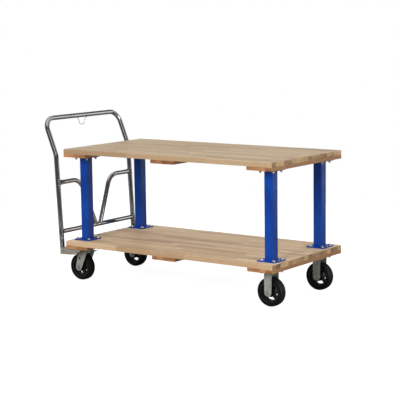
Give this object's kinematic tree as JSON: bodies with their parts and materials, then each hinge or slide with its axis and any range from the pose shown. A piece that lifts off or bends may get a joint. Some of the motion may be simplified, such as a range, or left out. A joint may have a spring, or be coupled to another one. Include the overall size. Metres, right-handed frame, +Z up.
{
  "type": "double-deck platform truck",
  "caption": "Double-deck hardwood platform truck: two laminated decks on square posts, a bent-tube push handle at one end, swivel casters under the handle and rigid casters in front.",
  "frame": {"origin": "on the floor, under the centre of the box that the whole truck fills", "axes": "+X forwards, away from the push handle; +Y to the left; +Z up"},
  "size_m": [1.547, 0.6858, 0.9228],
  "materials": {
    "deck_wood": "oiled laminated hardwood staves",
    "cleat_wood": "oiled hardwood",
    "blue_powder_coat": "gloss powder coat",
    "bright_tube": "bright plated",
    "zinc_channel": "dull zinc plate",
    "zinc_fastener": "bright zinc plate",
    "caster_zinc": "dull zinc plate",
    "bearing_steel": "ground steel",
    "tyre_rubber": "black moulded rubber",
    "iron_core": "black painted casting"
  },
  "bodies": {
    "cart": {"lower_deck": "deck_wood", "upper_deck": "deck_wood", "lower_cleat_rear": "cleat_wood", "lower_cleat_middle": "cleat_wood", "lower_cleat_front": "cleat_wood", "upper_cleat_rear": "cleat_wood", "upper_cleat_middle": "cleat_wood", "upper_cleat_front": "cleat_wood", "post_rear_left": "blue_powder_coat", "post_rear_right": "blue_powder_coat", "post_front_left": "blue_powder_coat", "post_front_right": "blue_powder_coat", "base_plate_rear_left": "blue_powder_coat", "base_plate_rear_right": "blue_powder_coat", "base_plate_front_left": "blue_powder_coat", "base_plate_front_right": "blue_powder_coat", "top_plates": "blue_powder_coat", "handle_tube": "bright_tube", "handle_cross_tube": "bright_tube", "handle_brace_left": "bright_tube", "handle_brace_right": "bright_tube", "handle_wire_loop": "bright_tube", "handle_end_plugs": "bright_tube", "handle_foot_left": "zinc_channel", "handle_foot_right": "zinc_channel", "corner_bolts": "zinc_fastener", "corner_nuts": "zinc_fastener", "corner_washers": "zinc_fastener", "top_plate_studs": "zinc_fastener", "top_plate_washers": "zinc_fastener", "top_plate_nuts": "zinc_fastener", "handle_foot_screws": "zinc_fastener", "cleat_screws": "zinc_fastener", "rigid_axle_bolts": "zinc_fastener", "rigid_axle_nuts": "zinc_fastener", "swivel_kingpins": "zinc_fastener", "rigid_fork_left": "caster_zinc", "rigid_fork_right": "caster_zinc", "swivel_plate_left": "caster_zinc", "swivel_plate_right": "caster_zinc", "rigid_axle_sleeves": "bearing_steel", "swivel_balls": "bearing_steel"},
    "swivel_left": {"swivel_fork_left": "caster_zinc", "swivel_axle_bolt_left": "zinc_fastener", "swivel_axle_nut_left": "zinc_fastener", "swivel_axle_sleeve_left": "bearing_steel"},
    "swivel_right": {"swivel_fork_right": "caster_zinc", "swivel_axle_bolt_right": "zinc_fastener", "swivel_axle_nut_right": "zinc_fastener", "swivel_axle_sleeve_right": "bearing_steel"},
    "wheel_rear_left": {"tyre_rear_left": "tyre_rubber", "wheel_core_rear_left": "iron_core", "wheel_bearing_rear_left": "bearing_steel"},
    "wheel_rear_right": {"tyre_rear_right": "tyre_rubber", "wheel_core_rear_right": "iron_core", "wheel_bearing_rear_right": "bearing_steel"},
    "wheel_front_left": {"tyre_front_left": "tyre_rubber", "wheel_core_front_left": "iron_core", "wheel_bearing_front_left": "bearing_steel"},
    "wheel_front_right": {"tyre_front_right": "tyre_rubber", "wheel_core_front_right": "iron_core", "wheel_bearing_front_right": "bearing_steel"}
  },
  "joints": [
    {"name": "swivel_left_turn", "type": "hinge", "parent": "cart", "child": "swivel_left", "pos_m": [-0.52832, 0.2381, 0.1775], "axis": [0, 0, 1], "continuous": true},
    {"name": "swivel_right_turn", "type": "hinge", "parent": "cart", "child": "swivel_right", "pos_m": [-0.52832, -0.2381, 0.1775], "axis": [0, 0, 1], "continuous": true},
    {"name": "rear_left_wheel_roll", "type": "hinge", "parent": "swivel_left", "child": "wheel_rear_left", "pos_m": [-0.57232, 0.2381, 0.0762], "axis": [0, 1, 0], "continuous": true},
    {"name": "front_left_wheel_roll", "type": "hinge", "parent": "cart", "child": "wheel_front_left", "pos_m": [0.69728, 0.2381, 0.0762], "axis": [0, 1, 0], "continuous": true},
    {"name": "rear_right_wheel_roll", "type": "hinge", "parent": "swivel_right", "child": "wheel_rear_right", "pos_m": [-0.57232, -0.2381, 0.0762], "axis": [0, 1, 0], "continuous": true},
    {"name": "front_right_wheel_roll", "type": "hinge", "parent": "cart", "child": "wheel_front_right", "pos_m": [0.69728, -0.2381, 0.0762], "axis": [0, 1, 0], "continuous": true}
  ]
}
